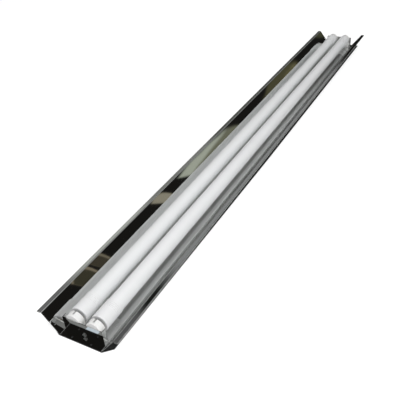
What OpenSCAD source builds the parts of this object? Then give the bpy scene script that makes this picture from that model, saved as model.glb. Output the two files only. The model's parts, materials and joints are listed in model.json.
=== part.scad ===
// Two-lamp batten with a polished trough reflector, lying on its back with the lamps up.
// X runs across it, Y along it from the near end to the far end, Z up, z = 0 at the back face.

/* [Lamps] */
// Length of a lamp between the end faces of its caps
lamp_len = 1199.4; // [560:0.1:1520]
// Gap between the caps of the two lamps
lamp_gap = 7.8; // [7.3:0.1:40]
// Gap between a cap and the reflector's floor
lamp_lift = 6.4; // [5.5:0.1:14]
// Outer diameter of the milky tube
tube_d = 25; // [22:0.5:38]
// Wall of the milky tube
tube_wall = 1; // [0.8:0.1:1.4]
// How far a cap stands proud of its tube
cap_skin = 1.1; // [0.8:0.1:2]
// Length of a lamp cap
cap_len = 37; // [20:1:60]
// End wall of a lamp cap
cap_end_t = 1.6; // [1.2:0.1:3]
// Grooves round each cap
cap_grooves = 4; // [1:1:6]
// Diameter of a contact pin
pin_d = 2.35; // [2.2:0.05:2.5]
// Distance between the two pins of a cap
pin_gap = 12.7; // [10:0.1:13]
// Length of a pin outside the cap
pin_len = 7.1; // [6.5:0.1:7.6]
// Light emitters on one strip
led_count = 60; // [12:1:120]

/* [Reflector] */
// Sheet the reflector and the end plates are folded from
sheet_t = 0.8; // [0.6:0.1:1.2]
// Distance from a lamp axis across to the lower fold of its wing
side_room = 18.1; // [17.6:0.1:40]
// Slope length of a wing from fold to fold
wing_len = 41.1; // [30:0.5:60]
// Angle of a wing above the floor
wing_angle = 51.8; // [40:0.2:65]
// Width of the level lip outside each wing
lip_w = 7.6; // [6:0.2:12]
// Depth of the hem folded back under the lip
hem_w = 4.4; // [2:0.2:5]
// Slot inside the hem
hem_gap = 0.5; // [0.3:0.1:1]
// Inside radius of the folds
bend_r = 1.2; // [0.8:0.1:2]
// Reach of the reflector past each lamp end
overhang = 26.3; // [22:0.1:45]
// Diameter of the small holes in a row near each end
row_hole_d = 3.2; // [2:0.1:4]
// Distance of that row from the end of the sheet
row_hole_edge = 3.5; // [3:0.1:5]
// Half the distance between the two row holes in the floor
row_hole_x = 16.3; // [10:0.1:22]
// Slope distance of the row hole in a wing from its lower fold
row_hole_up = 15.7; // [10:0.1:20]

/* [End plates] */
// Height of an end plate's top edge above the lamp axes
plate_over = 5.2; // [2:0.1:9]
// Gap between an end plate's side and the fold of the floor
plate_side_gap = 1.6; // [1.2:0.1:3]
// Depth of the side returns of an end plate
return_w = 7.4; // [4:0.2:10]

/* [Lampholders] */
// Radius of a lampholder's round head
holder_r = 12.5; // [12.3:0.1:13.2]
// Thickness of a lampholder along the lamp
holder_t = 10.8; // [10.6:0.1:14]
// Gap between a lampholder and the cap that it faces
holder_gap = 3.5; // [3:0.1:4.5]
// Width of a lampholder's stem
stem_w = 24; // [22:0.5:24]
// Width of the slot that the pins drop through
drop_slot_w = 2.9; // [2.8:0.1:3.4]
// Depth of that slot from the lampholder's front
drop_slot_depth = 7.2; // [5.2:0.1:7.4]
// Diameter of the turning rotor
rotor_d = 16; // [15.6:0.1:16.6]
// Running gap round the rotor
rotor_fit = 0.06; // [0.02:0.01:0.1]
// Slot in the rotor that takes the pins
rotor_slot_w = 2.65; // [2.6:0.05:2.9]
// Diameter of a lampholder's locating pegs
peg_d = 3.6; // [3:0.1:4.4]

/* [Wiring] */
// How far each side of the wiring cover slants inwards
cover_slant = 6; // [4:0.5:6.5]
// Height of the wiring cover
cover_h = 10.6; // [9.8:0.1:11.6]
// Diameter of a wire over its insulation
wire_d = 2; // [1.6:0.1:2.2]
// Diameter of the cable entry in the floor
entry_d = 13; // [10:0.5:15]
// Diameter of the bore through the entry's grommet
entry_bore_d = 9; // [6:0.5:9.5]
// Distance of the cable entry from the middle of the fixture
entry_y = 60; // [40:1:80]

/* [Fixing] */
// Diameter of the two fixing holes in the floor
fix_hole_d = 4.5; // [3.5:0.1:6]
// Distance of a fixing hole from the lamps' ends
fix_inset = 149.7; // [60:0.1:200]

/* [Hidden] */
$fn = 64;

left = -1;
right = 1;
near = -1;
far = 1;
cut = 0.5;                                   // how far a cutter reaches past a face
floor_z = sheet_t;                           // top of the reflector's floor
foot_z = floor_z + sheet_t;                  // top of an end plate's foot
cap_d = tube_d + 2 * cap_skin;
lamp_pitch = cap_d + lamp_gap;
lamp_z = floor_z + lamp_lift + cap_d / 2;
cap_y = -lamp_len / 2;                       // end face of the near caps
holder_front_y = cap_y - holder_gap;
plate_in_y = holder_front_y - holder_t;      // inner face of the near end plate
plate_out_y = plate_in_y - sheet_t;
reflector_len = lamp_len + 2 * overhang;
floor_w = lamp_pitch + 2 * side_room;
plate_w = floor_w - 2 * plate_side_gap;
plate_h = lamp_z + plate_over - floor_z;
fix_y = lamp_len / 2 - fix_inset;

// Folds of the reflector, as [straight run, turn to the left in degrees, centre-line radius]
fold_r = bend_r + sheet_t / 2;
hem_r = (sheet_t + hem_gap) / 2;
in_setback = bend_r * tan(wing_angle / 2);
out_setback = (bend_r + sheet_t) * tan(wing_angle / 2);
reflector_folds = [
  [floor_w / 2 - in_setback, wing_angle, fold_r],
  [wing_len - in_setback - out_setback, -wing_angle, fold_r],
  [lip_w - out_setback - hem_r - sheet_t / 2, -180, hem_r],
  [hem_w, 0, 0]
];

// Inside of the caps, tube and lamp electronics, measured from the lamp axis
slip = 0.05;                                 // gap between a tube and its cap
tube_end_gap = 4;                            // the tube stops this far from the cap's end face
tube_in_r = tube_d / 2 - tube_wall;
strip_w = 12;
strip_t = 1.2;
strip_low = -sqrt(pow(tube_in_r, 2) - pow(strip_w / 2, 2));
led_board_w = 10;
led_board_t = 1;
led_size = [2.8, 3.5, 0.8];
driver_w = 14;
driver_t = 1.4;
driver_len = 96;
driver_start = 12;                           // from the near cap's end face
driver_low = -sqrt(pow(tube_in_r - 0.1, 2) - pow(driver_w / 2, 2));
strip_gap = 6;                               // from the driver to the strips
strip_from = driver_start + driver_len + strip_gap;
strip_end = 44;                              // from the far cap's end face
strip_to = lamp_len - strip_end;

// Lampholder inside
pocket_depth = 7.6;
rotor_back_gap = 0.2;
rotor_front = 1;                             // rotor face to the cap face
rotor_flange_d = rotor_d + 2.4;
rotor_flange_t = 1.2;
rotor_flange_gap = 0.3;
rotor_hub_d = rotor_d - 2;
rotor_slot_depth = pin_len + 1;              // from the cap's end face
contact_t = 0.4;
contact_gap = 0.35;                          // relaxed contact to rotor
contact_w = 3.6;
contact_h = 8;
contact_span = 2.2;                          // from the inner to the outer leaf
contact_front = 1.8;                         // behind the lampholder's front face
contact_r = rotor_d / 2 + contact_gap;
peg_x = 7;
peg_clear = 0.2;
ear_out = 1.4;
ear_h = 4;
ear_z = 10;                                  // below the lamp axis

// Wires under the cover
wire_r = wire_d / 2;
clip_t = 0.5;
clip_clear = 0.15;
clip_len = 14;
clip_leg = 5.5;
neutral_z = floor_z + clip_t + 0.2 + wire_r;
live_z = neutral_z + wire_d + 0.2;
block_w = 9;
pole_len = 8.2;
pole_h = 6.4;
tower_d = 7;
block_h = 8.4;
stem_inner_x = (lamp_pitch - stem_w) / 2;
lead_bend_r = 2.3;                           // least bend of a lead where it leaves the block
lead_in = 0.3;                               // from a stem's inner side to its lead
lead_x = max(stem_inner_x + lead_in + wire_r, block_w / 2 + lead_bend_r);
wire_bend_r = lead_x - block_w / 2;
earth_x = block_w / 2 - 0.6;
earth_z = foot_z + 1.3;
block_end_y = -1.5 * pole_len;
cover_w = 2 * (lead_x + wire_r) + 8.4;
cover_top_w = cover_w - 2 * cover_slant;
cover_end_gap = 6;
cover_len = lamp_len + 2 * holder_gap - 2 * cover_end_gap;

// Small hardware
rivet_d = 2.4;
rivet_head_d = 4;
rivet_head_h = 1;
rivet_back = 3;                              // behind the lampholders' front faces
rivet_y = holder_front_y - rivet_back;
screw_d = 3;
screw_head_d = 5.6;
screw_head_h = 2;
nut_af = 5.5;
nut_t = 2.4;
tag_t = 0.6;
tag_d = 6;
earth_screw_z = floor_z + 4;

function ahead(h) = [cos(h), sin(h)];
function left_of(h) = [-sin(h), cos(h)];
function flip(points) = [for (i = [len(points) - 1:-1:0]) points[i]];
function other_side(points) = [for (p = points) [-p[0], p[1]]];

// Follows the folds of a sheet at a distance to the left of its centre line
function fold_line(folds, off, i = 0, p = [0, 0], h = 0) =
  i == len(folds) ? [] :
  let(
    run = folds[i][0],
    turn = folds[i][1],
    r = sign(turn) * folds[i][2],
    q = p + run * ahead(h),
    c = q + r * left_of(h),
    n = max(1, ceil(abs(turn) / 9))
  )
  concat(
    turn == 0 ? [q + off * left_of(h)] :
      [for (k = [0:n]) c + (off - r) * left_of(h + turn * k / n)],
    fold_line(folds, off, i + 1, c - r * left_of(h + turn), h + turn)
  );

// Draws the near end's version of a piece, or its mirror image at the far end
module at_end(e) {
  if (e == far) mirror([0, 1, 0]) children();
  else children();
}

// Carries what is drawn along Z from a cap's end face outwards, out along the near lamp's axis
module out_of_cap(side) {
  translate([side * lamp_pitch / 2, cap_y, lamp_z]) rotate([90, 0, 0]) children();
}

module hole(d, h) {
  translate([0, 0, -cut]) cylinder(d = d, h = h + 2 * cut);
}

module reflector_sheet() {
  upper = fold_line(reflector_folds, sheet_t / 2);
  lower = fold_line(reflector_folds, -sheet_t / 2);
  rotate([90, 0, 0])
    linear_extrude(reflector_len, center = true)
      translate([0, sheet_t / 2])
        polygon(concat(upper, flip(lower), other_side(lower), flip(other_side(upper))));
}

module row_holes() {
  translate([0, -reflector_len / 2 + row_hole_edge, 0])
    for (side = [left, right]) {
      translate([side * row_hole_x, 0, 0]) hole(row_hole_d, sheet_t);
      translate([side * (floor_w / 2 + row_hole_up * cos(wing_angle)), 0, floor_z + row_hole_up * sin(wing_angle)])
        rotate([0, -side * wing_angle, 0])
          translate([0, 0, -sheet_t]) hole(row_hole_d, sheet_t);
    }
}

module peg_holes(z, h) {
  for (side = [left, right], s = [-1, 1])
    translate([side * lamp_pitch / 2 + s * peg_x, holder_front_y - holder_t / 2, z])
      hole(peg_d + 2 * peg_clear, h);
}

module reflector() {
  color("silver")
    difference() {
      reflector_sheet();
      for (e = [near, far])
        at_end(e) {
          row_holes();
          peg_holes(0, sheet_t);
          translate([0, rivet_y, 0]) hole(rivet_d, sheet_t);
        }
      for (s = [-1, 1])
        translate([0, s * fix_y, 0]) hole(fix_hole_d, sheet_t);
      translate([0, entry_y, 0]) hole(entry_d, sheet_t);
    }
}

module end_plate(e) {
  foot_len = holder_t + sheet_t;
  color("lightgray")
    at_end(e)
      difference() {
        union() {
          translate([-plate_w / 2, plate_out_y, floor_z]) cube([plate_w, sheet_t, plate_h]);
          translate([-plate_w / 2, plate_out_y, floor_z]) cube([plate_w, foot_len, sheet_t]);
          for (side = [left, right])
            translate([side * (plate_w - sheet_t) / 2 - sheet_t / 2, plate_out_y, floor_z])
              cube([sheet_t, return_w, plate_h]);
        }
        peg_holes(floor_z, sheet_t);
        translate([0, rivet_y, floor_z]) hole(rivet_d, sheet_t);
        if (e == near)
          translate([0, plate_out_y, earth_screw_z])
            rotate([-90, 0, 0]) hole(screw_d + 0.2, sheet_t);
      }
}

module plate_rivets() {
  color("gainsboro")
    for (e = [near, far])
      at_end(e)
        translate([0, rivet_y, 0]) {
          translate([0, 0, 0.05]) cylinder(d = rivet_d - 0.1, h = foot_z);
          translate([0, 0, foot_z])
            intersection() {
              cylinder(d = rivet_head_d, h = rivet_head_h);
              translate([0, 0, rivet_head_h - rivet_head_d]) sphere(d = 2 * rivet_head_d);
            }
        }
}

// A length of sheet with the slanted sides of the wiring cover, set in by a distance
module cover_shape(inset, height) {
  slope = (cover_w - cover_top_w) / 2 / cover_h;
  across = inset * sqrt(1 + slope * slope);
  low = cover_w / 2 - across;
  polygon([[-low, 0], [low, 0], [low - slope * height, height], [-low + slope * height, height]]);
}

module along_y(length) {
  rotate([90, 0, 0]) linear_extrude(length, center = true) children();
}

module wiring_cover() {
  color("whitesmoke")
    translate([0, 0, floor_z])
      along_y(cover_len)
        difference() {
          cover_shape(0, cover_h);
          translate([0, -cut]) square([cover_w - 2 * sheet_t, 2 * cut], center = true);
          cover_shape(sheet_t, cover_h - sheet_t);
        }
}

module cover_clips() {
  color("darkgray")
    for (s = [-1, 1], y = [0.32 * fix_y, fix_y + 2 * clip_len])
      translate([0, s * y, floor_z])
        along_y(clip_len)
          difference() {
            cover_shape(sheet_t + clip_clear, clip_leg);
            translate([0, clip_t]) cover_shape(sheet_t + clip_clear + clip_t, clip_leg);
          }
}

module cable_grommet() {
  flange_t = 1.2;
  color("dimgray")
    translate([0, entry_y, 0])
      difference() {
        union() {
          cylinder(d = entry_d - 0.1, h = floor_z + flange_t);
          translate([0, 0, floor_z]) cylinder(d = entry_d + 4, h = flange_t);
        }
        hole(entry_bore_d, floor_z + flange_t);
      }
}

pole_y = [pole_len, 0, -pole_len];           // live, neutral and earth

module terminal_block() {
  color("white")
    difference() {
      translate([0, 0, floor_z])
        union() {
          translate([-block_w / 2, block_end_y, 0]) cube([block_w, 3 * pole_len, pole_h]);
          for (y = pole_y)
            translate([0, y, 0]) cylinder(d = tower_d, h = block_h);
        }
      for (y = pole_y)
        translate([0, y, floor_z + 3.4]) cylinder(d = screw_d + 0.6, h = block_h);
    }
}

module terminal_screws() {
  color("goldenrod")
    for (y = pole_y)
      translate([0, y, floor_z + 3.4])
        difference() {
          cylinder(d = screw_d, h = 3.2);
          translate([-screw_d, -0.3, 2.4]) cube([2 * screw_d, 0.6, 2]);
        }
}

// Two lamp leads that leave a terminal on both sides and run to the near lampholders
module lamp_leads(y, z) {
  bend_y = y - wire_bend_r;
  for (side = [left, right])
    mirror([side == left ? 1 : 0, 0, 0]) {
      translate([block_w / 2, bend_y, z])
        rotate_extrude(angle = 90) translate([wire_bend_r, 0]) circle(r = wire_r);
      translate([lead_x, bend_y, z])
        rotate([90, 0, 0]) cylinder(r = wire_r, h = bend_y - holder_front_y);
    }
}

module wires_live() {
  color("saddlebrown") lamp_leads(pole_y[0], live_z);
}

module wires_neutral() {
  color("royalblue") lamp_leads(pole_y[1], neutral_z);
}

tag_back_y = plate_in_y + tag_t;
barrel_len = 5;

module wire_earth() {
  color("yellowgreen")
    translate([earth_x, block_end_y, earth_z])
      rotate([90, 0, 0]) cylinder(r = wire_r, h = block_end_y - tag_back_y - barrel_len);
}

module earth_tag() {
  color("tan") {
    difference() {
      union() {
        translate([0, tag_back_y, earth_screw_z]) rotate([90, 0, 0]) cylinder(d = tag_d, h = tag_t);
        translate([0, plate_in_y, foot_z]) cube([earth_x + 1.3, tag_t, earth_screw_z - foot_z]);
      }
      translate([0, plate_in_y, earth_screw_z]) rotate([-90, 0, 0]) hole(screw_d + 0.2, tag_t);
    }
    translate([earth_x, tag_back_y + barrel_len, earth_z]) rotate([90, 0, 0]) cylinder(r = 1.3, h = barrel_len);
  }
}

module earth_screw() {
  shank = sheet_t + tag_t + nut_t + 0.6;
  color("gainsboro")
    translate([0, plate_out_y, earth_screw_z])
      rotate([-90, 0, 0]) {
        cylinder(d = screw_d, h = shank);
        difference() {
          intersection() {
            translate([0, 0, -screw_head_h]) cylinder(d = screw_head_d, h = screw_head_h);
            translate([0, 0, screw_head_d - screw_head_h]) sphere(d = 2 * screw_head_d);
          }
          for (a = [0, 90])
            rotate([0, 0, a]) translate([-1.6, -0.35, -screw_head_h - cut]) cube([3.2, 0.7, cut + 1]);
        }
      }
}

module earth_nut() {
  color("silver")
    translate([0, tag_back_y, earth_screw_z])
      rotate([-90, 0, 0])
        difference() {
          cylinder(d = nut_af / cos(30), h = nut_t, $fn = 6);
          hole(screw_d + 0.1, nut_t);
        }
}

// Round head of a lampholder, with its two rims rounded off
module holder_head() {
  round_r = 0.8;
  rotate_extrude()
    union() {
      square([holder_r - round_r, holder_t]);
      translate([0, round_r]) square([holder_r, holder_t - 2 * round_r]);
      for (z = [round_r, holder_t - round_r])
        translate([holder_r - round_r, z]) circle(r = round_r, $fn = 32);
    }
}

module holder_ears() {
  for (s = [-1, 1])
    translate([0, 0, 3])
      linear_extrude(holder_t - 5)
        polygon([
          [s * (stem_w / 2 - cut), -ear_z], [s * stem_w / 2, -ear_z],
          [s * (stem_w / 2 + ear_out), -ear_z - ear_h * 0.6], [s * (stem_w / 2 + ear_out), -ear_z - ear_h],
          [s * (stem_w / 2 - cut), -ear_z - ear_h]
        ]);
}

module lampholder(side, e) {
  stem_h = lamp_z - foot_z;
  color("white")
    at_end(e) {
      out_of_cap(side)
        difference() {
          translate([0, 0, holder_gap])
            union() {
              holder_head();
              translate([-stem_w / 2, -stem_h, 0]) cube([stem_w, stem_h, holder_t]);
              holder_ears();
            }
          translate([0, 0, holder_gap - cut])
            cylinder(d = rotor_d + 2 * rotor_fit, h = pocket_depth + cut);
          translate([-drop_slot_w / 2, 0, holder_gap - cut])
            cube([drop_slot_w, holder_r + cut, drop_slot_depth + cut]);
          for (s = [0, 180])
            rotate([0, 0, s])
              translate([rotor_d / 2 - 1, -contact_h / 2 - 1.6, holder_gap + contact_front - 0.2])
                cube([1 + contact_gap + 2 * contact_t + contact_span - contact_t, contact_h + 2, contact_w + 0.4]);
        }
      for (s = [-1, 1])
        translate([side * lamp_pitch / 2 + s * peg_x, holder_front_y - holder_t / 2, 0.1])
          cylinder(d = peg_d, h = foot_z);
    }
}

module rotor(side, e) {
  body_from = holder_gap + rotor_flange_gap * -1;
  back = holder_gap + pocket_depth - rotor_back_gap;
  color("dimgray")
    at_end(e)
      out_of_cap(side)
        difference() {
          union() {
            translate([0, 0, rotor_front]) cylinder(d = rotor_hub_d, h = back - rotor_front);
            translate([0, 0, body_from - rotor_flange_t]) cylinder(d = rotor_flange_d, h = rotor_flange_t);
            translate([0, 0, body_from]) cylinder(d = rotor_d, h = back - body_from);
          }
          translate([-rotor_flange_d, -rotor_slot_w / 2, rotor_front - cut])
            cube([2 * rotor_flange_d, rotor_slot_w, rotor_slot_depth - rotor_front + cut]);
        }
}

// A sprung leaf bent double, on each side of the rotor
module contacts(side, e) {
  color("peru")
    at_end(e)
      out_of_cap(side)
        translate([0, 0, holder_gap + contact_front])
          for (s = [0, 180])
            rotate([0, 0, s])
              linear_extrude(contact_w) {
                translate([contact_r, -contact_h / 2]) square([contact_t, contact_h]);
                translate([contact_r + contact_span, -contact_h / 2]) square([contact_t, contact_h]);
                translate([contact_r + (contact_span + contact_t) / 2, -contact_h / 2])
                  difference() {
                    circle(d = contact_span + contact_t);
                    circle(d = contact_span - contact_t);
                    translate([-contact_span, 0]) square([2 * contact_span, contact_span]);
                  }
              }
}

// Carries what is drawn along Z from a cap's end face inwards, into the near end of a lamp
module into_lamp(side) {
  translate([side * lamp_pitch / 2, cap_y, lamp_z]) rotate([-90, 0, 0]) children();
}

module lamp_tube(side) {
  color("white")
    into_lamp(side)
      translate([0, 0, tube_end_gap])
        difference() {
          cylinder(d = tube_d, h = lamp_len - 2 * tube_end_gap);
          hole(2 * tube_in_r, lamp_len - 2 * tube_end_gap);
        }
}

module lamp_cap(side, e) {
  r = cap_d / 2;
  round_r = 1.4;
  groove_w = 0.7;
  groove_pitch = 2.6;
  color("white")
    at_end(e)
      into_lamp(side)
        difference() {
          rotate_extrude()
            difference() {
              union() {
                square([r - round_r, cap_len]);
                translate([0, round_r]) square([r, cap_len - 2 * round_r]);
                translate([r - round_r, round_r]) circle(r = round_r, $fn = 32);
                translate([0, cap_len - round_r]) square([r - 0.4, round_r]);
              }
              translate([0, cap_end_t]) square([tube_in_r, cap_len]);
              translate([0, tube_end_gap]) square([tube_d / 2 + slip, cap_len]);
              for (i = [1:cap_grooves])
                translate([r - 0.25, cap_len - 4 - i * groove_pitch]) square([1, groove_w]);
            }
          for (s = [-1, 1])
            translate([s * pin_gap / 2, 0, 0]) hole(pin_d + 2 * slip, cap_end_t);
        }
}

module lamp_pins(side, e) {
  tip = 0.5;
  flange_t = 0.8;
  color("gold")
    at_end(e)
      into_lamp(side)
        for (s = [-1, 1])
          translate([s * pin_gap / 2, 0, 0]) {
            translate([0, 0, tip - pin_len]) cylinder(d = pin_d, h = pin_len - tip + cap_end_t + flange_t);
            translate([0, 0, -pin_len]) cylinder(d1 = pin_d - 2 * tip, d2 = pin_d, h = tip);
            translate([0, 0, cap_end_t]) cylinder(d = pin_d + 1.4, h = flange_t);
          }
}

// Carries what is drawn from a lamp's near cap face, with Y along the lamp and Z up from its axis
module in_lamp(side) {
  translate([side * lamp_pitch / 2, cap_y, lamp_z]) children();
}

module lamp_heat_strip(side) {
  color("lightsteelblue")
    in_lamp(side)
      translate([-strip_w / 2, strip_from, strip_low]) cube([strip_w, strip_to - strip_from, strip_t]);
}

module lamp_led_board(side) {
  color("beige")
    in_lamp(side)
      translate([-led_board_w / 2, strip_from, strip_low + strip_t])
        cube([led_board_w, strip_to - strip_from, led_board_t]);
}

module lamp_leds(side) {
  step = (strip_to - strip_from) / led_count;
  color("khaki")
    in_lamp(side)
      for (i = [0:led_count - 1])
        translate([-led_size[0] / 2, strip_from + (i + 0.5) * step - led_size[1] / 2, strip_low + strip_t + led_board_t])
          cube(led_size);
}

module lamp_driver(side) {
  top = driver_low + driver_t;
  can_d = 8;
  unit = driver_len / 12;
  color("seagreen")
    in_lamp(side)
      translate([0, driver_start, 0]) {
        translate([-driver_w / 2, 0, driver_low]) cube([driver_w, driver_len, driver_t]);
        for (at = [1, 7.5])
          translate([0, at * unit, top + can_d / 2 - 0.4]) rotate([-90, 0, 0]) cylinder(d = can_d, h = 1.6 * unit);
        for (part = [[3.7, 1.5, 11, 9], [6, 0.8, 9, 7], [9.8, 1.4, 10, 6]])
          translate([-part[2] / 2, part[0] * unit, top]) cube([part[2], part[1] * unit, part[3]]);
      }
}

reflector();
end_plate(near);  // end_plate_near
end_plate(far);  // end_plate_far
plate_rivets();
wiring_cover();
cover_clips();
cable_grommet();
terminal_block();
terminal_screws();
wires_live();
wires_neutral();
wire_earth();
earth_tag();
earth_screw();
earth_nut();
lampholder(left, near);  // lampholder_near_left
lampholder(right, near);  // lampholder_near_right
lampholder(left, far);  // lampholder_far_left
lampholder(right, far);  // lampholder_far_right
rotor(left, near);  // rotor_near_left
rotor(right, near);  // rotor_near_right
rotor(left, far);  // rotor_far_left
rotor(right, far);  // rotor_far_right
contacts(left, near);  // contacts_near_left
contacts(right, near);  // contacts_near_right
contacts(left, far);  // contacts_far_left
contacts(right, far);  // contacts_far_right
lamp_tube(left);  // lamp_left_tube
lamp_cap(left, near);  // lamp_left_cap_near
lamp_cap(left, far);  // lamp_left_cap_far
lamp_pins(left, near);  // lamp_left_pins_near
lamp_pins(left, far);  // lamp_left_pins_far
lamp_heat_strip(left);  // lamp_left_heat_strip
lamp_led_board(left);  // lamp_left_led_board
lamp_leds(left);  // lamp_left_leds
lamp_driver(left);  // lamp_left_driver
lamp_tube(right);  // lamp_right_tube
lamp_cap(right, near);  // lamp_right_cap_near
lamp_cap(right, far);  // lamp_right_cap_far
lamp_pins(right, near);  // lamp_right_pins_near
lamp_pins(right, far);  // lamp_right_pins_far
lamp_heat_strip(right);  // lamp_right_heat_strip
lamp_led_board(right);  // lamp_right_led_board
lamp_leds(right);  // lamp_right_leds
lamp_driver(right);  // lamp_right_driver
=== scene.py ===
"""Two-lamp tube light with a polished trough reflector, lying on its back on a pale studio floor."""

import json
import math

import bpy
from mathutils import Matrix, Vector


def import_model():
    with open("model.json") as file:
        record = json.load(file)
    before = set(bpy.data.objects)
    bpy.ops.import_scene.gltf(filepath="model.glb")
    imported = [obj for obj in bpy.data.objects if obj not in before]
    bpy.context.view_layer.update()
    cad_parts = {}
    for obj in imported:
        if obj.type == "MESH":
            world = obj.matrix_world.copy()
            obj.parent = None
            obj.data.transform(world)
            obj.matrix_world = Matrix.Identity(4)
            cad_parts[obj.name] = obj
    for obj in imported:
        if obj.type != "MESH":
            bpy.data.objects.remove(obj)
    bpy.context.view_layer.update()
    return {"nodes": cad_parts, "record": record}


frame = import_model()

# Lengths are in metres. X runs across the trough, Y along it and Z up.

# Camera
CAMERA_PLACE = Vector((0.4077, -0.9698, 0.5720))
CAMERA_AIM = Vector((0.00748, -0.28643, 0.0208))
CAMERA_ROLL = math.radians(-4.40)
LENS_MM = 48.74
SENSOR_MM = 36.0
CLIP_START = 0.01

# Lamp
LAMP_PLACE = Vector((0.9, -0.85, 1.15))
LAMP_AIM = Vector((0.0, -0.4, 0.0))
LAMP_SIZE = (1.4, 1.0)
LAMP_WATTS = 12.5

# Polished sheet
SHEET_LOW = (0.80, 0.805, 0.80)
SHEET_HIGH = (0.835, 0.84, 0.83)
SHEET_ROUGHNESS = (0.012, 0.03)
LINES_SCALE = 900
LINES_STRETCH = (1, 0.006, 1)
WAVES_SCALE = 7
WAVES_STRENGTH = 0.25
WAVES_DEPTH = 0.002

# Inner face of the right wing: the way it faces in x and z, its place along that way, and in x where
# the painted shade on its reflection rises from the fold and ends at the lip. By y, that painted shade
# turns from one amount to the other.
WING_FACING = (-0.785857, 0.618408)
WING_INNER = (-0.02845, -0.02815)
WING_FOLD = (0.0370, 0.0500)
WING_TOP = (0.0620, 0.0635)
WING_PAINTED_SHADE_TURN = (-0.42, -0.15)
WING_PAINTED_SHADE = (0.64, 0.94)

# Metals and plastics
METAL_GRAIN = 1200
SPECKLE_SCALE = 2500
SPECKLE_STRENGTH = 0.3
SPECKLE_DEPTH = 0.00002
CLOUDS_SCALE = 45
METAL_SPREAD = 0.06
PLASTIC_SPREAD = 0.05
COAT_ROUGHNESS = 0.12

# Frosted tubes, with painted shade: the heights at which the back and the sides turn grey, and how far
# along the sides do, greyer toward the far end where less light falls
TUBE_COAT = 0.25
TUBE_SPECKLE_DEPTH = 0.00001
PAINTED_SHADE_BACK_HEIGHTS = (0.0083, 0.0093)
PAINTED_SHADE_BACK_LEVEL = 0.55
PAINTED_SHADE_SIDE_HEIGHTS = (0.0165, 0.0275)
PAINTED_SHADE_FAR_RUN = (0.05, 0.55)
PAINTED_SHADE_FAR_LEVEL = 0.62

# Floor as the camera sees it. It has a painted shadow, a dark polygon under the object, inside the lines a
# * x + b * y = c.
FLOOR_HALF = 6.0
FLOOR_DROP = 0.0002
FLOOR_COLOUR = (0.86, 0.86, 0.86)
FLOOR_SEEN = (0.52, 0.52, 0.52)
FLOOR_LIFT = 0.64
FLOOR_WHITE_FROM = 0.9
FLOOR_WHITE = 2.2
FLOOR_PAINTED_SHADOW = (0.028, 0.028, 0.028)
PAINTED_SHADOW_EDGES = (
    (0.0, -1.0, 0.6270),
    (0.0, 1.0, 0.6270),
    (1.0, -0.0078, 0.0543),
    (1.0, 0.0, 0.0537),
    (-1.0, 0.0, 0.0600),
    (0.6930, -0.7210, 0.4776),
    (-0.4819, -0.8762, 0.5672),
)
PAINTED_SHADOW_FADE = 0.0006

# Floor as the mirrors see it, with a pale card at the near plate, a dim bench beyond either end and a
# painted shadow under the base
FLOOR_IN_MIRRORS = (0.60, 0.605, 0.60)
PAINTED_SHADOW_BASE_MIDDLE = (0.0, 0.0)
PAINTED_SHADOW_BASE_HALF = (0.037, 0.627)
CARD_IN_MIRRORS = (0.55, 0.62, 0.68)
CARD_MIDDLE = (0.0018, -0.6290)
CARD_HALF = (0.0107, 0.0038)
CARD_FADE = 0.0004
BENCH_IN_MIRRORS = (0.21, 0.215, 0.21)
BENCH_FAR_IN_MIRRORS = (0.025, 0.025, 0.022)
BENCH_TURN = (-0.30, 0.30)
BENCH_MIDDLE = (0.0, 0.6575)
BENCH_HALF = (0.080, 0.0475)
BENCH_FADE = 0.015

# Light from the sky, low and overhead, and the upward part of a direction over which it changes
SKY_LOW = 0.37
SKY_HIGH = 2.65
SKY_RISE = (0.86, 1.00)

# Room that the mirrors see, by direction. Behind and left are given by -y, -z and -x.
ROOM_DARK = (0.0095, 0.009, 0.008)
WALLS = (0.34, 0.345, 0.345)
WALL_BEHIND = (0.50, 0.75)
WALL_BEHIND_DOWN = (-0.62, -0.40)
WALL_RIGHT = (0.86, 0.96)
WALL_LEFT = (0.64, 0.86)
CEILING = (1.0, 1.0, 1.0)
CEILING_RISE = (0.825, 1.00)
WINDOWS = (
    {"ends": ((-0.450, 0.512), (-0.277, 0.316)), "fade": (0.035, 0.065), "glow": (0.095, 0.098, 0.088)},
    {"ends": ((-0.520, 0.590), (-0.450, 0.512)), "fade": (0.025, 0.070), "glow": (0.21, 0.215, 0.20)},
    {"ends": ((-0.600, 0.685), (-0.570, 0.650)), "fade": (0.010, 0.035), "glow": (0.15, 0.15, 0.15)},
    {"ends": ((-0.550, 0.626), (-0.520, 0.590)), "fade": (0.010, 0.048), "glow": (0.42, 0.435, 0.405)},
    {"ends": ((-0.405, 0.635), (-0.255, 0.400)), "fade": (0.020, 0.070), "glow": (0.245, 0.25, 0.25)},
    {"ends": ((-0.470, 0.737), (-0.463, 0.731)), "fade": (0.010, 0.030), "glow": (0.10, 0.10, 0.10)},
)

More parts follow.
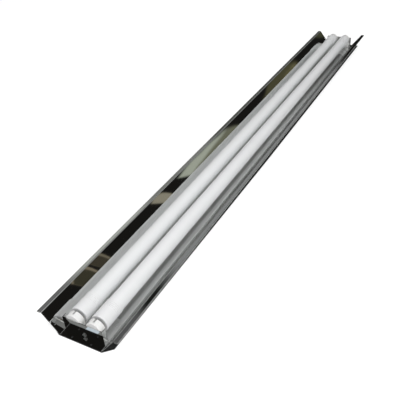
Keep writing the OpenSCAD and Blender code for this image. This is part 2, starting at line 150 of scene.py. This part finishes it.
# Shapes in the room, by u = x / y and v = z / y of a direction. The wall on the right starts over a band.
AHEAD_LEAST = 0.05
BAND_SLOPE = 0.52
OVER_BAND = (0.08, 0.45)
SHAPE_EDGE = 0.004
RIM_WIDTH = 0.014
FLANK_MARGIN = 0.002
DOMES = (
    {"centre": (0.745, 0.300), "radii": (0.089, 0.071), "foot": (0.855, 0.414, 0.611),
     "flank": (0.708, 0.365, 0.503), "colour": (0.150, 0.153, 0.109),
     "crease": (0.697, 0.355, 0.380), "beyond": (0.38, 0.405, 0.335)},
    {"centre": (1.010, 0.450), "radii": (0.0655, 0.069), "foot": (0.988, 0.479, 0.550),
     "colour": (0.27, 0.25, 0.19)},
    {"centre": (1.530, 0.690), "radii": (0.095, 0.100), "foot": (1.531, 0.750, 0.420),
     "colour": (0.043, 0.040, 0.026), "rim": (0.20, 0.17, 0.12)},
    {"centre": (1.425, 0.645), "radii": (0.100, 0.105), "foot": (1.400, 0.700, 0.420),
     "colour": (0.050, 0.043, 0.030), "rim": (0.16, 0.14, 0.10)},
    {"centre": (0.585, 0.235), "radii": (0.110, 0.045), "foot": (0.580, 0.272, 0.600),
     "colour": (0.125, 0.115, 0.058), "crease": (0.540, 0.256, 0.200), "beyond": (0.070, 0.066, 0.036)},
    {"centre": (0.400, 0.190), "radii": (0.050, 0.035), "foot": (0.409, 0.206, 0.300),
     "colour": (0.056, 0.056, 0.033)},
)

WHITE = (1.0, 1.0, 1.0)
BLACK = (0.0, 0.0, 0.0)


def rgba(colour):
    return (*colour, 1.0)


# Shader graph helpers


class Graph:
    """A node tree that is being built."""

    def __init__(self, tree, keep=False):
        self.tree = tree
        if not keep:
            tree.nodes.clear()

    def add(self, kind, **values):
        node = self.tree.nodes.new(kind)
        for name, value in values.items():
            setattr(node, name, value)
        return node

    def link(self, source, target):
        self.tree.links.new(source, target)

    def set(self, socket, value):
        """Sets an input to a value or to another node's output."""
        if isinstance(value, bpy.types.NodeSocket):
            self.link(value, socket)
        else:
            socket.default_value = value

    def put(self, node, **inputs):
        """Sets a node's inputs by name."""
        for name, value in inputs.items():
            self.set(node.inputs[name.replace("_", " ")], value)
        return node

    def math(self, operation, a, b=0.0, clamp=False):
        node = self.add("ShaderNodeMath", operation=operation, use_clamp=clamp)
        for socket, value in zip(node.inputs, (a, b)):
            self.set(socket, value)
        return node.outputs[0]

    def plus(self, a, b, clamp=False):
        return self.math("ADD", a, b, clamp)

    def minus(self, a, b):
        return self.math("SUBTRACT", a, b)

    def times(self, a, b):
        return self.math("MULTIPLY", a, b)

    def larger(self, a, b):
        return self.math("MAXIMUM", a, b)

    def length(self, a, b):
        return self.math("SQRT", self.plus(self.times(a, a), self.times(b, b)))

    def scaled_place(self, scale):
        """Object coordinates, stretched by a scale along each axis."""
        place = self.add("ShaderNodeTexCoord").outputs["Object"]
        mapping = self.add("ShaderNodeMapping")
        mapping.inputs["Scale"].default_value = scale
        self.link(place, mapping.inputs["Vector"])
        return mapping.outputs["Vector"]

    def split(self, vector):
        parts = self.add("ShaderNodeSeparateXYZ")
        self.link(vector, parts.inputs[0])
        return parts.outputs

    def place(self):
        """The x, y and z of the object coordinates."""
        return self.split(self.scaled_place((1, 1, 1)))

    def direction(self):
        """The x, y and z of a direction in the world."""
        return self.split(self.add("ShaderNodeTexCoord").outputs["Generated"])

    def noise(self, scale, detail, stretch=(1, 1, 1)):
        node = self.add("ShaderNodeTexNoise")
        node.inputs["Scale"].default_value = scale
        node.inputs["Detail"].default_value = detail
        self.link(self.scaled_place(stretch), node.inputs["Vector"])
        return node.outputs["Fac"]

    def between(self, value, low, high):
        """Maps a value from 0..1 to low..high."""
        node = self.add("ShaderNodeMapRange")
        node.inputs["To Min"].default_value = low
        node.inputs["To Max"].default_value = high
        self.link(value, node.inputs["Value"])
        return node.outputs["Result"]

    def smooth(self, value, low, high):
        """Rises softly from 0 at low to 1 at high."""
        node = self.add("ShaderNodeMapRange", interpolation_type="SMOOTHSTEP")
        node.inputs["From Min"].default_value = low
        node.inputs["From Max"].default_value = high
        self.link(value, node.inputs["Value"])
        return node.outputs["Result"]

    def tint(self, value, low, high):
        """A colour from low to high, by a value from 0..1. Either is a colour or a node's output."""
        node = self.add("ShaderNodeMix", data_type="RGBA")
        self.link(value, node.inputs["Factor"])
        for end, colour in (("A", low), ("B", high)):
            self.set(node.inputs[end], colour if isinstance(colour, bpy.types.NodeSocket) else rgba(colour))
        return node.outputs["Result"]

    def bump(self, height, strength, distance):
        node = self.add("ShaderNodeBump")
        node.inputs["Strength"].default_value = strength
        node.inputs["Distance"].default_value = distance
        self.link(height, node.inputs["Height"])
        return node.outputs["Normal"]

    def shader(self, kind, **inputs):
        return self.put(self.add(kind), **inputs)

    def mix(self, factor, first, second):
        """The first shader where the factor is 0 and the second where it is 1."""
        node = self.add("ShaderNodeMixShader")
        self.link(factor, node.inputs[0])
        self.link(first.outputs[0], node.inputs[1])
        self.link(second.outputs[0], node.inputs[2])
        return node


def new_material(name):
    material = bpy.data.materials.new(name)
    material.use_nodes = True
    graph = Graph(material.node_tree)
    shader = graph.add("ShaderNodeBsdfPrincipled")
    output = graph.add("ShaderNodeOutputMaterial")
    graph.link(shader.outputs["BSDF"], output.inputs["Surface"])
    return material, graph, shader


# Materials


def wing_painted_shade(graph):
    """Painted shade on the reflection in the right wing's inner face, dimming it at a low angle. More so
    toward its top and its middle.
    """
    x, y, z = graph.place()
    height = graph.plus(graph.times(x, WING_FACING[0]), graph.times(z, WING_FACING[1]))
    inner = graph.smooth(height, *WING_INNER)
    from_fold = graph.smooth(x, *WING_FOLD)
    to_lip = graph.minus(1.0, graph.smooth(x, *WING_TOP))
    on_wing = graph.times(inner, graph.times(from_fold, to_lip))
    painted_dimming = graph.between(graph.smooth(y, *WING_PAINTED_SHADE_TURN), *WING_PAINTED_SHADE)
    return graph.times(on_wing, painted_dimming)


def mirror_sheet():
    """Rolled sheet with a mirror polish, faint rolling lines along Y and a slight waviness."""
    material, graph, shader = new_material("mirror_sheet")
    lines = graph.noise(LINES_SCALE, 3, LINES_STRETCH)
    waves = graph.noise(WAVES_SCALE, 1)
    graph.put(
        shader,
        Base_Color=graph.tint(lines, SHEET_LOW, SHEET_HIGH),
        # Painted shade: the right wing's reflection is dimmed at a low angle
        Specular_Tint=graph.tint(wing_painted_shade(graph), WHITE, BLACK),
        Metallic=1.0,
        Roughness=graph.between(lines, *SHEET_ROUGHNESS),
        Normal=graph.bump(waves, WAVES_STRENGTH, WAVES_DEPTH),
    )
    return material


def metal(name, low, high, roughness, spread=METAL_SPREAD, scale=METAL_GRAIN, stretch=(1, 1, 1)):
    """Bare or plated metal with a fine grain in its colour and its gloss."""
    material, graph, shader = new_material(name)
    grain = graph.noise(scale, 3, stretch)
    graph.put(
        shader,
        Base_Color=graph.tint(grain, low, high),
        Metallic=1.0,
        Roughness=graph.between(grain, roughness - spread, roughness + spread),
    )
    return material


def moulded(name, low, high, roughness, relief=SPECKLE_DEPTH, coat=0.0):
    """Moulded plastic with a fine sparkle of texture and slightly uneven gloss."""
    material, graph, shader = new_material(name)
    grain = graph.noise(SPECKLE_SCALE, 2)
    clouds = graph.noise(CLOUDS_SCALE, 2)
    graph.put(
        shader,
        Base_Color=graph.tint(clouds, low, high),
        Roughness=graph.between(grain, roughness - PLASTIC_SPREAD, roughness + PLASTIC_SPREAD),
        Normal=graph.bump(grain, SPECKLE_STRENGTH, relief),
    )
    if coat:
        graph.put(shader, Coat_Weight=coat, Coat_Roughness=COAT_ROUGHNESS)
    return material


def milky_tube():
    """Frosted tube with painted shade: its back is greyed, and its sides grey toward the far end."""
    material = moulded("milky_tube", (0.80, 0.81, 0.815), (0.83, 0.84, 0.845), 0.32,
                       relief=TUBE_SPECKLE_DEPTH, coat=TUBE_COAT)
    graph = Graph(material.node_tree, keep=True)
    shader = next(n for n in material.node_tree.nodes if n.type == "BSDF_PRINCIPLED")
    y, z = graph.place()[1:]
    # Painted shade: grey on the tube's back, and on its sides toward the far end
    back = graph.between(graph.smooth(z, *PAINTED_SHADE_BACK_HEIGHTS), PAINTED_SHADE_BACK_LEVEL, 1.0)
    painted_side = graph.minus(1.0, graph.smooth(z, *PAINTED_SHADE_SIDE_HEIGHTS))
    far = graph.times(graph.smooth(y, *PAINTED_SHADE_FAR_RUN), painted_side)
    painted_tube_shade = graph.times(back, graph.between(far, 1.0, PAINTED_SHADE_FAR_LEVEL))
    socket = shader.inputs["Base Color"]
    graph.link(graph.tint(painted_tube_shade, BLACK, socket.links[0].from_socket), socket)
    return material


MATERIALS = {
    "mirror_sheet": mirror_sheet(),
    "hardware": metal("bright_plating", (0.42, 0.42, 0.41), (0.52, 0.52, 0.51), 0.33,
                      spread=0.07, scale=600),
    "spring_steel": metal("spring_steel", (0.36, 0.37, 0.38), (0.50, 0.51, 0.52), 0.335,
                          spread=0.085, scale=1500, stretch=(1, 0.02, 1)),
    "grommet_rubber": moulded("grommet_rubber", (0.012, 0.012, 0.012), (0.022, 0.022, 0.021), 0.55),
    "holder_plastic": moulded("holder_plastic", (0.80, 0.80, 0.79), (0.84, 0.84, 0.83), 0.30, coat=0.2),
    # Near-black rotors: a colour rotors have, set this dark also to stand in for the shade inside the
    # holders' slots
    "rotor_plastic": moulded("rotor_plastic", (0.040, 0.040, 0.042), (0.055, 0.055, 0.057), 0.40),
    "contact_metal": metal("contact_metal", (0.60, 0.36, 0.20), (0.72, 0.48, 0.30), 0.28),
    "brass": metal("brass", (0.66, 0.47, 0.18), (0.78, 0.60, 0.28), 0.24),
    "brown_insulation": moulded("brown_insulation", (0.045, 0.016, 0.008), (0.06, 0.022, 0.011), 0.38),
    "blue_insulation": moulded("blue_insulation", (0.008, 0.05, 0.24), (0.012, 0.065, 0.30), 0.38),
    "green_insulation": moulded("green_insulation", (0.09, 0.30, 0.02), (0.12, 0.36, 0.03), 0.38),
    "milky_tube": milky_tube(),
    "cap_plastic": moulded("cap_plastic", (0.77, 0.775, 0.78), (0.81, 0.815, 0.82), 0.36),
    "heat_strip": metal("heat_strip", (0.55, 0.56, 0.57), (0.64, 0.65, 0.66), 0.36),
    "board_white": moulded("board_white", (0.72, 0.72, 0.70), (0.76, 0.76, 0.74), 0.42),
    "phosphor": moulded("phosphor", (0.78, 0.60, 0.06), (0.84, 0.68, 0.10), 0.30),
    "board_green": moulded("board_green", (0.006, 0.065, 0.022), (0.010, 0.085, 0.030), 0.36),
}


def dress_nodes():
    for row in frame["record"]["subparts"]:
        node = frame["nodes"][row["node"]]
        node.data.materials.clear()
        node.data.materials.append(MATERIALS[row["material_slot"]])


# Studio


def first_mirror(graph, ray):
    """1 for a ray that the camera sends through mirrors alone, otherwise 0."""
    clean = graph.math("LESS_THAN", ray.outputs["Diffuse Depth"], 0.5)
    return graph.times(ray.outputs["Is Glossy Ray"], clean)


def past_edges(graph, x, y, edges, fade):
    """0 on the near side of every line a * x + b * y = c and 1 past any of them."""
    worst = None
    for a, b, c in edges:
        over = graph.minus(graph.plus(graph.times(x, a), graph.times(y, b)), c)
        worst = over if worst is None else graph.larger(worst, over)
    return graph.smooth(worst, -fade, fade)


def outside(graph, x, y, middle, half, fade):
    """0 inside a rectangle of the floor and 1 outside it."""
    beyond = [graph.minus(graph.math("ABSOLUTE", graph.minus(place, at)), reach)
              for place, at, reach in zip((x, y), middle, half)]
    return graph.smooth(graph.larger(*beyond), -fade, fade)


def floor_seen(graph, x, y):
    """The floor as the camera sees it: a painted shadow under the object, then pale and, far from it,
    white.
    """
    # Painted shadow: inside the polygon the floor is dark and gets no lift
    beside = past_edges(graph, x, y, PAINTED_SHADOW_EDGES, PAINTED_SHADOW_FADE)
    shaded = graph.shader("ShaderNodeBsdfDiffuse", Color=graph.tint(beside, FLOOR_PAINTED_SHADOW, FLOOR_SEEN))
    lift = graph.shader("ShaderNodeEmission", Color=rgba(WHITE), Strength=graph.times(beside, FLOOR_LIFT))
    lit = graph.add("ShaderNodeAddShader")
    graph.link(shaded.outputs[0], lit.inputs[0])
    graph.link(lift.outputs[0], lit.inputs[1])
    white = graph.shader("ShaderNodeEmission", Color=rgba(WHITE), Strength=1.0)
    far = graph.smooth(graph.length(x, y), FLOOR_WHITE_FROM, FLOOR_WHITE)
    return graph.mix(far, lit, white)


def floor_mirrored(graph, x, y):
    """The floor as the mirrors see it: pale grey, with the card, the benches and a painted shadow under the
    base.
    """
    off_bench = outside(graph, x, graph.math("ABSOLUTE", y), BENCH_MIDDLE, BENCH_HALF, BENCH_FADE)
    off_card = outside(graph, x, y, CARD_MIDDLE, CARD_HALF, CARD_FADE)
    off_base = outside(graph, x, y, PAINTED_SHADOW_BASE_MIDDLE, PAINTED_SHADOW_BASE_HALF, PAINTED_SHADOW_FADE)
    bench = graph.tint(graph.smooth(y, *BENCH_TURN), BENCH_IN_MIRRORS, BENCH_FAR_IN_MIRRORS)
    colour = graph.tint(off_bench, bench, FLOOR_IN_MIRRORS)
    colour = graph.tint(off_card, CARD_IN_MIRRORS, colour)
    # Painted shadow under the base, as the mirrors see it
    colour = graph.tint(off_base, FLOOR_PAINTED_SHADOW, colour)
    return graph.shader("ShaderNodeBsdfDiffuse", Color=colour)


def floor_material():
    material = bpy.data.materials.new("floor")
    material.use_nodes = True
    graph = Graph(material.node_tree)
    ray = graph.add("ShaderNodeLightPath")
    x, y = graph.place()[:2]
    pale = graph.shader("ShaderNodeBsdfDiffuse", Color=rgba(FLOOR_COLOUR))
    seen = graph.mix(ray.outputs["Is Camera Ray"], pale, floor_seen(graph, x, y))
    surface = graph.mix(first_mirror(graph, ray), seen, floor_mirrored(graph, x, y))
    output = graph.add("ShaderNodeOutputMaterial")
    graph.link(surface.outputs[0], output.inputs["Surface"])
    return material


def floor():
    mesh = bpy.data.meshes.new("floor")
    h = FLOOR_HALF
    mesh.from_pydata([(-h, -h, 0), (h, -h, 0), (h, h, 0), (-h, h, 0)], [], [(0, 1, 2, 3)])
    mesh.materials.append(floor_material())
    plane = bpy.data.objects.new("floor", mesh)
    plane.location.z = -FLOOR_DROP
    bpy.context.scene.collection.objects.link(plane)


def off_strip(graph, x, z, ends):
    """How far a direction lies from a strip between two others, by the x and z of each."""
    start, end = (Vector(p) for p in ends)
    run = end - start
    dx = graph.minus(x, start.x)
    dz = graph.minus(z, start.y)
    along_x = graph.times(dx, run.x / run.length_squared)
    along_z = graph.times(dz, run.y / run.length_squared)
    along = graph.plus(along_x, along_z, clamp=True)
    gap_x = graph.minus(dx, graph.times(along, run.x))
    gap_z = graph.minus(dz, graph.times(along, run.y))
    return graph.length(gap_x, gap_z)


def slope_side(graph, along, across, line):
    """How far a point lies before a slanted line through (along, across), with its lean."""
    start, level, lean = line
    edge = graph.plus(start - lean * level, graph.times(across, lean))
    return graph.minus(edge, along)


def dome_depth(graph, u, v, dome, spare=0.0):
    """How deep a direction lies inside a dome with a slanted foot."""
    a, b = (r + spare for r in dome["radii"])
    du = graph.math("DIVIDE", graph.minus(u, dome["centre"][0]), a)
    dv = graph.math("DIVIDE", graph.minus(v, dome["centre"][1]), b)
    depth = graph.times(graph.minus(1.0, graph.length(du, dv)), min(a, b))
    if "flank" in dome:
        u0, v0, lean = dome["flank"]
        under = slope_side(graph, v, u, (v0, u0, lean))
        past = graph.minus(u, u0 - FLANK_MARGIN)
        depth = graph.larger(depth, graph.math("MINIMUM", under, past))
    return graph.math("MINIMUM", depth, slope_side(graph, u, v, dome["foot"]))


def on_walls(graph, x, y, z, u, v, ahead):
    """1 where a direction meets a pale wall, on the right, behind or far to either side, otherwise 0."""
    right = graph.times(ahead, graph.math("GREATER_THAN", x, 0.0))
    over_band = graph.smooth(graph.minus(v, graph.times(u, BAND_SLOPE)), *OVER_BAND)
    back = graph.smooth(graph.times(y, -1.0), *WALL_BEHIND)
    down = graph.smooth(graph.times(z, -1.0), *WALL_BEHIND_DOWN)
    walls = graph.larger(graph.times(right, over_band), graph.times(back, down))
    walls = graph.larger(walls, graph.smooth(x, *WALL_RIGHT))
    return graph.larger(walls, graph.smooth(graph.times(x, -1.0), *WALL_LEFT))


def room(graph):
    """A dark room with a lit ceiling, strips of window and rounded shapes, as the sheet mirrors it."""
    x, y, z = graph.direction()
    forward = graph.larger(y, AHEAD_LEAST)
    u = graph.math("DIVIDE", x, forward)
    v = graph.math("DIVIDE", z, forward)
    ahead = graph.math("GREATER_THAN", y, 0.0)
    colour = graph.tint(on_walls(graph, x, y, z, u, v, ahead), ROOM_DARK, WALLS)
    for window in WINDOWS:
        off = graph.smooth(off_strip(graph, x, z, window["ends"]), *window["fade"])
        lit = graph.times(graph.minus(1.0, off), ahead)
        colour = graph.tint(lit, colour, window["glow"])
    for dome in DOMES:
        if "rim" in dome:
            outer = graph.smooth(dome_depth(graph, u, v, dome, RIM_WIDTH), -SHAPE_EDGE, SHAPE_EDGE)
            colour = graph.tint(outer, colour, dome["rim"])
        inside = graph.smooth(dome_depth(graph, u, v, dome), -SHAPE_EDGE, SHAPE_EDGE)
        body = dome["colour"]
        if "crease" in dome:
            u0, v0, lean = dome["crease"]
            over = graph.times(slope_side(graph, v, u, (v0, u0, lean)), -1.0)
            body = graph.tint(graph.smooth(over, -SHAPE_EDGE, SHAPE_EDGE), body, dome["beyond"])
        colour = graph.tint(inside, colour, body)
    return graph.tint(graph.smooth(z, *CEILING_RISE), colour, CEILING)


def sky(graph):
    """Soft light that is strongest from overhead."""
    return graph.between(graph.smooth(graph.direction()["Z"], *SKY_RISE), SKY_LOW, SKY_HIGH)


def world():
    """White to the camera, soft white light on the object, and a dim room in its mirrors."""
    scene_world = bpy.data.worlds.new("studio")
    bpy.context.scene.world = scene_world
    scene_world.use_nodes = True
    scene_world.cycles.sampling_method = "NONE"
    graph = Graph(scene_world.node_tree)
    ray = graph.add("ShaderNodeLightPath")
    white = graph.shader("ShaderNodeBackground", Color=rgba(WHITE), Strength=1.0)
    soft = graph.shader("ShaderNodeBackground", Color=rgba(WHITE), Strength=sky(graph))
    mirrored = graph.shader("ShaderNodeBackground", Color=room(graph), Strength=1.0)
    inside = graph.mix(first_mirror(graph, ray), soft, mirrored)
    all_rays = graph.mix(ray.outputs["Is Camera Ray"], inside, white)
    output = graph.add("ShaderNodeOutputWorld")
    graph.link(all_rays.outputs[0], output.inputs["Surface"])


def looking(place, aim, roll=0.0):
    """A matrix at place whose -Z points at aim and whose X is level but for the roll."""
    back = (place - aim).normalized()
    across = Vector((0, 0, 1)).cross(back).normalized()
    upright = back.cross(across)
    x = across * math.cos(roll) + upright * math.sin(roll)
    y = back.cross(x)
    return Matrix.Translation(place) @ Matrix((x, y, back)).transposed().to_4x4()


def overhead_lamp():
    """A wide lamp over the near end, which the mirrors don't show."""
    light = bpy.data.lights.new("overhead", "AREA")
    light.shape = "RECTANGLE"
    light.size, light.size_y = LAMP_SIZE
    light.energy = LAMP_WATTS
    lamp = bpy.data.objects.new("overhead", light)
    lamp.matrix_world = looking(LAMP_PLACE, LAMP_AIM)
    lamp.visible_glossy = False
    bpy.context.scene.collection.objects.link(lamp)


def camera():
    data = bpy.data.cameras.new("camera")
    data.sensor_width = SENSOR_MM
    data.lens = LENS_MM
    data.clip_start = CLIP_START
    eye = bpy.data.objects.new("camera", data)
    eye.matrix_world = looking(CAMERA_PLACE, CAMERA_AIM, CAMERA_ROLL)
    bpy.context.scene.collection.objects.link(eye)
    bpy.context.scene.camera = eye


bpy.context.scene.view_settings.view_transform = "Standard"
# At its default, the mirrors would throw no light on the undersides of the tubes
bpy.context.scene.cycles.blur_glossy = 0.0
dress_nodes()
floor()
world()
overhead_lamp()
camera()
